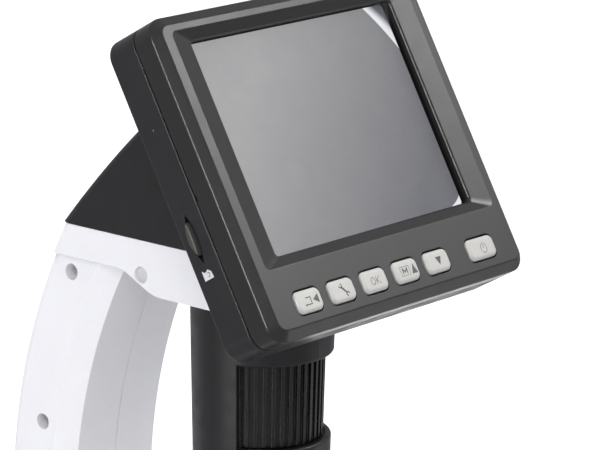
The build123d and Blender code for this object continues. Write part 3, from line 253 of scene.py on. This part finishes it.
M["diffuser_milky"] = moulded("diffuser milky", rgb(226, 228, 230), rough=0.5, mottle=0.02, edge=0.1,
                              edge_wear_and_glint=0.2, grain=2400.0, depth=5e-6, Subsurface_Weight=0.4, Subsurface_Scale=0.002)
M["led_body"] = moulded("led body", rgb(235, 226, 170), rough=0.25, mottle=0.05, edge=0, grain=3000.0, depth=3e-6)
M["tin_plate"] = metal("tin plate", rgb(190, 190, 192), rough=0.32, brushed=(1.0, 0.12, 1.0))
M["plate_steel"] = metal("plate steel", rgb(150, 152, 155), rough=0.42, brushed=(1.0, 0.05, 1.0), stain=0.14)
M["screw_steel"] = metal("screw steel", rgb(165, 165, 168), rough=0.3, brushed=(0.3, 1.0, 1.0))
M["dome_steel"] = metal("dome steel", rgb(200, 200, 198), rough=0.25)


def circuit():
    t = Tree("circuit board green")
    slow = t.noise(60.0, 2.0)
    weave = t.add("ShaderNodeTexBrick", {"offset": 0.5}, Vector=t.place, Scale=900.0)
    base = t.mix(t.remap(slow, 0.35, 0.65), rgb(16, 70, 44), rgb(22, 84, 52))
    traces = t.remap(t.noise(300.0, 0.0, 0.5, distortion=1.4), 0.47, 0.5)
    base = t.mix(t.math("MULTIPLY", traces, 0.35), base, rgb(52, 120, 78))
    bump = t.add("ShaderNodeBump", None, Strength=0.4, Distance=1e-5, Height=weave.outputs["Fac"])
    t.shader(Base_Color=base, Roughness=t.remap(slow, 0.3, 0.7, 0.25, 0.4), Normal=bump.outputs[0])
    return t.mat


def ribbon():
    t = Tree("ribbon amber")
    stripe = t.add("ShaderNodeTexWave", {"bands_direction": "X", "wave_type": "BANDS"}, Vector=t.place, Scale=900.0,
                   Distortion=0.0)
    base = t.mix(t.remap(stripe.outputs["Fac"], 0.4, 0.6), rgb(176, 96, 24), rgb(146, 70, 18))
    base = t.mix(t.remap(t.noise(200.0), 0.3, 0.7, 0.0, 0.2), base, rgb(196, 124, 50))
    t.shader(Base_Color=base, Roughness=t.remap(t.noise(500.0), 0.3, 0.7, 0.22, 0.4))
    return t.mat


def lens(name, tint, rough=0.02):
    t = Tree(name)
    smear = t.noise(160.0, 4.0, 0.6, distortion=0.8)
    t.shader(Base_Color=t.mix(t.remap(smear, 0.35, 0.7), tint, scaled(tint, 0.97)),
             Roughness=t.remap(smear, 0.45, 0.75, rough, rough + 0.05),
             **{"Transmission_Weight": 1.0, "IOR": 1.5, "Coat_Weight": 0.2, "Coat_Roughness": 0.05})
    return t.mat


M["circuit_green"] = circuit()
M["ribbon_amber"] = ribbon()
M["lens_glass"] = lens("lens glass", (0.93, 0.96, 1.0, 1.0))


def display_glass():
    """Clear acrylic with an anti-glare coat: faint smears, gloss that drifts a little."""
    t = Tree("display window")
    smear = t.noise(70.0, 5.0, 0.65, distortion=1.2)
    rough = t.remap(t.noise(45.0, 1.0, 0.5), 0.3, 0.7, 0.06, 0.09)
    t.shader(Base_Color=t.mix(t.remap(smear, 0.3, 0.7), (0.97, 0.97, 0.97, 1.0), (0.94, 0.94, 0.945, 1.0)),
             Roughness=rough, **{"Transmission_Weight": 1.0, "IOR": 1.03})
    return t.mat


# the glow of the display's painted reflection: its dim and bright greys and its strength
PANEL_REFLECTION_LOW, PANEL_REFLECTION_HIGH, PANEL_REFLECTION_GLOW = rgb(111, 112, 117), rgb(174, 173, 174), 0.9


def lcd_painted_reflection():
    """The panel under the window, glowing with a painted reflection: a blank grey, dimmer to the lower right, faint
    pixel rows, a faint painted band, and pale painted reflections in the corners outside wide arcs."""
    t = Tree("display panel painted reflection glow")
    off = t.vmath("SUBTRACT", t.place, tuple(HEAD_O))
    x = t.vmath("DOT_PRODUCT", off, tuple(HEAD_X / MM), out="Value")
    u = t.vmath("DOT_PRODUCT", off, tuple(HEAD_U / MM), out="Value")
    n = t.vmath("DOT_PRODUCT", off, tuple(HEAD_N / MM), out="Value")
    x = t.math("SUBTRACT", x, 0.6)
    slow = t.noise(26.0, 3.0, 0.55)
    cloud = t.noise(160.0, 4.0, 0.6)
    # painted reflection: the glowing grey dims to the lower right
    reflection_fall = t.math("ADD", t.math("MULTIPLY", x, -0.0101), t.math("MULTIPLY", u, 0.0087))
    reflection_fall = t.math("ADD", reflection_fall, t.math("MULTIPLY", t.math("SUBTRACT", slow, 0.5), 0.1))
    grey = t.mix(t.remap(reflection_fall, -0.45, 0.33, smooth=False), PANEL_REFLECTION_LOW, PANEL_REFLECTION_HIGH)
    grey = t.mix(t.remap(cloud, 0.3, 0.7, 0.0, 0.06), grey, rgb(128, 126, 134))
    # pixel rows, 0.5 mm apart
    rows = t.math("SINE", t.math("MULTIPLY", u, 12.5))
    grey = t.mix(t.remap(rows, -1.0, 1.0, 0.0, 0.02), grey, rgb(70, 70, 74))
    # a faint painted band of light near the lower edge
    band = t.math("SUBTRACT", u, t.math("MULTIPLY", x, 0.02))
    band = t.remap(t.math("ABSOLUTE", t.math("ADD", band, 18.6)), 0.0, 0.8, 1.0, 0.0)
    band = t.math("MULTIPLY", band, t.remap(x, -30.0, 2.0))
    grey = t.mix(t.math("MULTIPLY", band, 0.06), grey, rgb(150, 150, 154))
    # the painted pale reflection in the corner beyond a wide arc, and the small one below it; towards the right
    # wall it darkens, a painted reflection of the wall
    cx, cu = t.math("ADD", x, 20.56), t.math("ADD", u, 12.57)
    far = t.math("SQRT", t.math("ADD", t.math("POWER", cx, 2.0), t.math("POWER", cu, 2.0)))
    past = t.math("SUBTRACT", far, 64.86)
    pale = t.math("MULTIPLY", t.remap(past, -0.12, 0.12), t.remap(u, 12.0, 14.0))
    sx, su = t.math("SUBTRACT", x, 31.0), t.math("ADD", u, 16.0)
    near = t.math("SQRT", t.math("ADD", t.math("POWER", sx, 2.0), t.math("POWER", su, 2.0)))
    edge = t.math("MULTIPLY", t.remap(x, 33.8, 34.4), t.remap(u, -23.6, -24.2))
    pale = t.math("MAXIMUM", pale, t.math("MULTIPLY", t.remap(near, 10.8, 11.0), edge))
    turn = t.math("ADD", past, t.math("MULTIPLY", t.math("SUBTRACT", u, 20.0), 0.12))
    shade = t.mix(t.remap(turn, 1.2, 4.2), rgb(240, 240, 243), rgb(92, 94, 102))
    face = t.mix(pale, grey, shade)
    # the panel's own colour is dark, lighter under the pale painted reflection; only its front face glows, and the
    # glow stands in for reflected light
    side = t.remap(n, -4.1, -3.95)
    base = t.mix(side, rgb(36, 36, 38), t.mix(pale, rgb(40, 40, 41), rgb(80, 80, 82)))
    bump = t.add("ShaderNodeBump", None, Strength=0.2, Distance=1e-6, Height=cloud)
    t.shader(Base_Color=base, Roughness=t.remap(cloud, 0.3, 0.7, 0.5, 0.6), Normal=bump.outputs[0],
             **{"Specular_IOR_Level": 0.1, "Emission_Color": face, "Emission_Strength": t.math("MULTIPLY", side, PANEL_REFLECTION_GLOW)})
    return t.mat


M["display_glass"] = display_glass()
M["lcd_black"] = lcd_painted_reflection()

ink = Tree("key print dark")
ink.shader(Base_Color=ink.mix(ink.remap(ink.noise(2400.0, 3.0, 0.7), 0.35, 0.7), rgb(52, 52, 52), rgb(92, 91, 89)),
           Roughness=ink.remap(ink.noise(1800.0), 0.3, 0.7, 0.35, 0.55))
ink_grey = Tree("key print grey")
ink_grey.shader(Base_Color=ink_grey.mix(ink_grey.remap(ink_grey.noise(2400.0, 3.0, 0.7), 0.35, 0.7), rgb(104, 104, 103), rgb(134, 133, 130)),
                Roughness=ink_grey.remap(ink_grey.noise(1800.0), 0.3, 0.7, 0.35, 0.55))
paint = Tree("wall print white")
paint.shader(Base_Color=paint.mix(paint.remap(paint.noise(2400.0, 3.0, 0.7), 0.35, 0.7), rgb(214, 214, 215), rgb(196, 196, 197)),
             Roughness=paint.remap(paint.noise(1800.0), 0.3, 0.7, 0.35, 0.5))

SLOT_OF = {}
for name, o in nodes.items():
    slot = o.material_slots[0].material.name.split(".")[0]
    SLOT_OF[name] = slot
    o.material_slots[0].material = M[slot]
# the cheek plugs get the white with painted recess shade
nodes["cheek_plugs"].material_slots[0].material = M["plug_white"]
nodes["display_window"].visible_shadow = False
nodes["lcd_panel"].visible_diffuse = nodes["lcd_panel"].visible_glossy = False


# ------------------------------------------------------------------ printed marks
def outline(points, width, closed=False):
    """The outline of a stroke of that width along points, with mitred corners."""
    pts = [Vector(p) for p in points]
    n = len(pts)
    left, right = [], []
    for i, p in enumerate(pts):
        a = pts[i - 1] if (i or closed) else None
        b = pts[(i + 1) % n] if (i < n - 1 or closed) else None
        d0 = (p - a).normalized() if a is not None else None
        d1 = (b - p).normalized() if b is not None else None
        d0, d1 = d0 or d1, d1 or d0
        m = (d0 + d1).normalized()
        side = Vector((-m.y, m.x))
        k = width / 2 / max(0.35, side.dot(Vector((-d0.y, d0.x))))
        left.append(p + side * k)
        right.append(p - side * k)
    return left, right


def mark(name, body, finish, to_world, out_dir, shapes, deep=0.02, proud=0.012):
    """Thin printed shapes as one closed mesh. A shape is a filled loop, or (points, width, closed) for a stroke."""
    bm = bmesh.new()
    for shape in shapes:
        if isinstance(shape, tuple) and isinstance(shape[1], float):
            left, right = outline(*shape)
            n = len(left)
            strips = [[left[i], left[(i + 1) % n], right[(i + 1) % n], right[i]]
                      for i in range(n if shape[2] else n - 1)]
            ring = [bm.verts.new(to_world(p.x, p.y) + out_dir * proud * MM) for p in left + right]
            low = [bm.verts.new(to_world(p.x, p.y) - out_dir * deep * MM) for p in left + right]
            for i in range(len(strips)):
                j = (i + 1) % n
                bm.faces.new((ring[i], ring[j], ring[n + j], ring[n + i]))
                bm.faces.new((low[n + i], low[n + j], low[j], low[i]))
                bm.faces.new((low[i], low[j], ring[j], ring[i]))
                bm.faces.new((low[n + j], low[n + i], ring[n + i], ring[n + j]))
            if not shape[2]:
                for e in (0, n - 1):
                    bm.faces.new((low[e], low[n + e], ring[n + e], ring[e]))
        else:
            loop = [Vector(p) for p in shape]
            top = [bm.verts.new(to_world(p.x, p.y) + out_dir * proud * MM) for p in loop]
            low = [bm.verts.new(to_world(p.x, p.y) - out_dir * deep * MM) for p in loop]
            bm.faces.new(top)
            bm.faces.new(low[::-1])
            for i in range(len(loop)):
                j = (i + 1) % len(loop)
                bm.faces.new((low[i], low[j], top[j], top[i]))
    bmesh.ops.recalc_face_normals(bm, faces=bm.faces)
    bmesh.ops.triangulate(bm, faces=[f for f in bm.faces if len(f.verts) > 4])
    me = bpy.data.meshes.new(name)
    bm.to_mesh(me)
    bm.free()
    o = bpy.data.objects.new(name, me)
    bpy.context.scene.collection.objects.link(o)
    me.materials.append(finish)
    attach(o, body)
    return o


def arc(cx, cy, r, a0, a1, n=18, ry=None):
    ry = r if ry is None else ry
    return [(cx + r * math.cos(math.radians(a0 + (a1 - a0) * i / n)),
             cy + ry * math.sin(math.radians(a0 + (a1 - a0) * i / n))) for i in range(n + 1)]


KEY_U, KEY_TOP = -39.15, 1.95
KEY_X = [-33.05 + 11.99 * i for i in range(5)] + [32.45]


def on_key(i, dx=0.0, du=0.0):
    return lambda x, y: head(KEY_X[i] + dx + x, KEY_U + du + y, KEY_TOP)


mark("print_back", "back_key", ink.mat, on_key(0), HEAD_N, [
    ([(-1.35, 0.75), (0.28, 0.75), (0.28, -0.95), (-1.75, -0.95)], 0.26, False),
    [(-2.15, -0.95), (-1.6, -0.6), (-1.6, -1.3)],
    [(1.0, -0.05), (2.95, 1.1), (2.95, -1.15)]])
mark("print_menu", "menu_key", ink.mat, on_key(1), HEAD_N, [
    ([(-0.42, 0.78), (0.98, -0.88)], 0.5, False),
    (arc(-0.62, 1.1, 0.47, 177, 437, 14), 0.3, False),
    (arc(1.22, -1.2, 0.5, 357, 617, 14), 0.3, False)])
mark("print_ok", "ok_key", ink_grey.mat, on_key(2), HEAD_N, [
    (arc(-0.95, -0.1, 0.7, 0, 342, 20, ry=0.88), 0.23, True),
    ([(0.3, 0.85), (0.3, -1.05)], 0.23, False),
    ([(1.55, 0.85), (0.45, -0.1), (1.65, -1.05)], 0.23, False)])
mark("print_mode", "mode_key", ink_grey.mat, on_key(3), HEAD_N, [
    ([(-2.5, 1.12), (0.85, 1.12), (0.85, -1.12), (-2.5, -1.12)], 0.17, True)])
mark("print_mode_up", "mode_key", ink.mat, on_key(3), HEAD_N, [
    ([(-1.6, -0.68), (-1.6, 0.6), (-0.85, -0.25), (-0.1, 0.6), (-0.1, -0.68)], 0.34, False),
    [(1.45, -1.15), (3.5, -1.15), (2.48, 1.3)]])
mark("print_down", "down_key", ink.mat, on_key(4), HEAD_N, [
    [(-0.82, 1.05), (0.28, -1.05), (1.38, 1.05)]])
mark("print_power", "power_key", ink_grey.mat, on_key(5, dx=0.4, du=-0.15), HEAD_N, [
    (arc(0.0, 0.0, 1.08, 62, -242, 26, ry=1.25), 0.24, False),
    ([(0.0, 1.55), (0.0, -0.1)], 0.26, False)])

# camera mark in the left wall, beside the snapshot key
WALL_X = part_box("rear_shell")[0].x


def on_wall(a, b):
    """a towards the back, b up the wall, mm from the mark's middle."""
    p = head(0.0, -25.1 + b, -11.5 - a)
    return Vector((WALL_X, p.y, p.z))


mark("print_camera", "microscope_frame", paint.mat, on_wall, Vector((-1, 0, 0)), [
    [(1.42, 1.3), (0.8, 0.78), (0.1, 0.75), (-0.5, 1.2), (-1.5, 0.45), (-1.65, -1.1), (1.45, -1.2)]])
mark("print_camera_lens", "microscope_frame", ink.mat, on_wall, Vector((-1, 0, 0)), [
    (arc(-0.28, 0.0, 0.5, 80, 290, 16), 0.2, False)], deep=0.0, proud=0.02)

# ------------------------------------------------------------------ gasket in the seam between the head's shells
HEAD_MID, HEAD_SIZE, HEAD_CORNER = (0.4, -6.3), (96.2, 81.0), 5.0


def head_loop(inset):
    """The head's outline drawn in by inset, as points x, u."""
    r = HEAD_CORNER - inset
    w, h = HEAD_SIZE[0] / 2 - inset - r, HEAD_SIZE[1] / 2 - inset - r
    points = []
    for sx, su, start in ((1, 1, 0), (-1, 1, 90), (-1, -1, 180), (1, -1, 270)):
        points += arc(HEAD_MID[0] + sx * w, HEAD_MID[1] + su * h, r, start, start + 90, 10)
    return points


bm = bmesh.new()
rings = [[bm.verts.new(head(x, u, n)) for x, u in head_loop(inset)]
         for inset, n in ((0.75, -6.02), (1.9, -6.02), (1.9, -6.48), (0.75, -6.48))]
for k, ring in enumerate(rings):
    after = rings[(k + 1) % 4]
    for i in range(len(ring)):
        j = (i + 1) % len(ring)
        bm.faces.new((ring[i], ring[j], after[j], after[i]))
bmesh.ops.recalc_face_normals(bm, faces=bm.faces)
me = bpy.data.meshes.new("seam_gasket")
bm.to_mesh(me)
bm.free()
gasket = bpy.data.objects.new("seam_gasket", me)
bpy.context.scene.collection.objects.link(gasket)
me.materials.append(M["guide_black"])
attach(gasket, "microscope_frame")

# ------------------------------------------------------------------ floor
bm = bmesh.new()
bmesh.ops.create_grid(bm, x_segments=24, y_segments=24, size=14.0)
me = bpy.data.meshes.new("floor")
bm.to_mesh(me)
bm.free()
floor = bpy.data.objects.new("floor", me)
bpy.context.scene.collection.objects.link(floor)
f = Tree("floor pale")
f.shader(Base_Color=f.mix(f.remap(f.noise(1.2, 3.0), 0.3, 0.7), rgb(241, 241, 246), rgb(245, 245, 248)),
         Roughness=f.remap(f.noise(14.0, 3.0), 0.3, 0.7, 0.72, 0.8), **{"Specular_IOR_Level": 0.2})
me.materials.append(f.mat)
floor.visible_glossy = False

# ------------------------------------------------------------------ light
world = bpy.data.worlds.new("studio")
bpy.context.scene.world = world
world.use_nodes = True
sky = world.node_tree.nodes["Background"]
sky.inputs["Color"].default_value = (0.965, 0.97, 1.0, 1.0)
sky.inputs["Strength"].default_value = 0.385

AIM = Vector((0.0, -0.01, 0.13))


def towards(az, el, r):
    a, e = math.radians(az), math.radians(el)
    return AIM + Vector((math.cos(e) * math.cos(a), math.cos(e) * math.sin(a), math.sin(e))) * r


def facing(o, target=AIM):
    o.rotation_euler = (o.location - target).to_track_quat("Z", "Y").to_euler()


def area(name, az, el, r, size, power, colour=(1, 1, 1), size_y=None):
    d = bpy.data.lights.new(name, "AREA")
    d.energy, d.size, d.color = power, size, colour
    if size_y:
        d.shape, d.size_y = "RECTANGLE", size_y
    o = bpy.data.objects.new(name, d)
    bpy.context.scene.collection.objects.link(o)
    o.location = towards(az, el, r)
    facing(o)
    return o


for lamp in (
        area("camera_side", -150, 40, 2.4, 1.2, 24.5),
        area("front_low", -90, 5, 2.4, 1.2, 3.4),
        area("top", 60, 80, 2.3, 1.6, 66)):
    lamp.visible_glossy = False


def card(name, az, el, r, width, height, strength, low=0.0, left=1.0, colour=(1, 1, 1, 1)):
    """A softbox seen only in reflections, brighter away from its lower edge."""
    bm = bmesh.new()
    bmesh.ops.create_grid(bm, x_segments=8, y_segments=8, size=0.5)
    me = bpy.data.meshes.new(name)
    bm.to_mesh(me)
    bm.free()
    o = bpy.data.objects.new(name, me)
    bpy.context.scene.collection.objects.link(o)
    o.location = towards(az, el, r)
    facing(o)
    o.scale = (width, height, 1)
    t = Tree(name)
    sep = t.add("ShaderNodeSeparateXYZ", None, Vector=t.place)
    up = t.remap(sep.outputs[1], -0.5, -0.5 + low)
    rim = t.remap(t.math("ABSOLUTE", sep.outputs[0]), 0.36, 0.5, 1.0, 0.0)
    top = t.remap(sep.outputs[1], 0.36, 0.5, 1.0, 0.0)
    k = t.math("MULTIPLY", t.math("MULTIPLY", up, rim), t.math("MULTIPLY", top, strength))
    k = t.math("MULTIPLY", k, t.remap(sep.outputs[0], -0.45, 0.35, left, 1.0, smooth=False))
    e = t.add("ShaderNodeEmission", None, Color=colour, Strength=k)
    t.nt.links.new(e.outputs[0], t.out.inputs["Surface"])
    me.materials.append(t.mat)
    o.visible_camera = o.visible_diffuse = o.visible_shadow = o.visible_transmission = False
    return o


card("softbox_front", -40.5, 38, 1.9, 0.56, 0.7, 13.8, low=0.12)
card("softbox_front_left", -58, 38, 1.9, 0.56, 0.7, 3.4, low=0.12)
card("softbox_front_low", -33, 22.5, 1.9, 0.7, 0.5, 1.25, low=0.12)
card("strip_left", 172, -12, 1.9, 0.95, 1.5, 2.5, low=0.3)
card("strip_low", -32, -27, 1.9, 0.9, 0.45, 1.7, low=0.12)
card("strip_under", 35, -25, 1.9, 0.9, 0.5, 1.8, low=0.12)
card("softbox_camera", -150, 21, 1.9, 0.6, 0.6, 30.0, low=0.3)

# ------------------------------------------------------------------ camera, solved from the photograph
cam = bpy.data.cameras.new("camera")
camera = bpy.data.objects.new("camera", cam)
bpy.context.scene.collection.objects.link(camera)
right = Vector((0.646900300840622, -0.7624812263444127, 0.01193231933165458))
up = Vector((0.1806288836742172, 0.1684128027462997, 0.9690254559369127))
back = Vector((-0.7408732733436388, -0.6247075374472888, 0.24667242549913307))
here = Vector((-0.6110405613618794, -0.541913881652756, 0.34277977647389844))
camera.matrix_world = Matrix(((right.x, up.x, back.x, here.x), (right.y, up.y, back.y, here.y),
                              (right.z, up.z, back.z, here.z), (0, 0, 0, 1)))
cam.sensor_fit, cam.sensor_width, cam.lens = "HORIZONTAL", 36.0, 203.3384
cam.clip_start, cam.clip_end = 0.05, 60.0
bpy.context.scene.camera = camera
bpy.context.scene.view_settings.view_transform = "Standard"
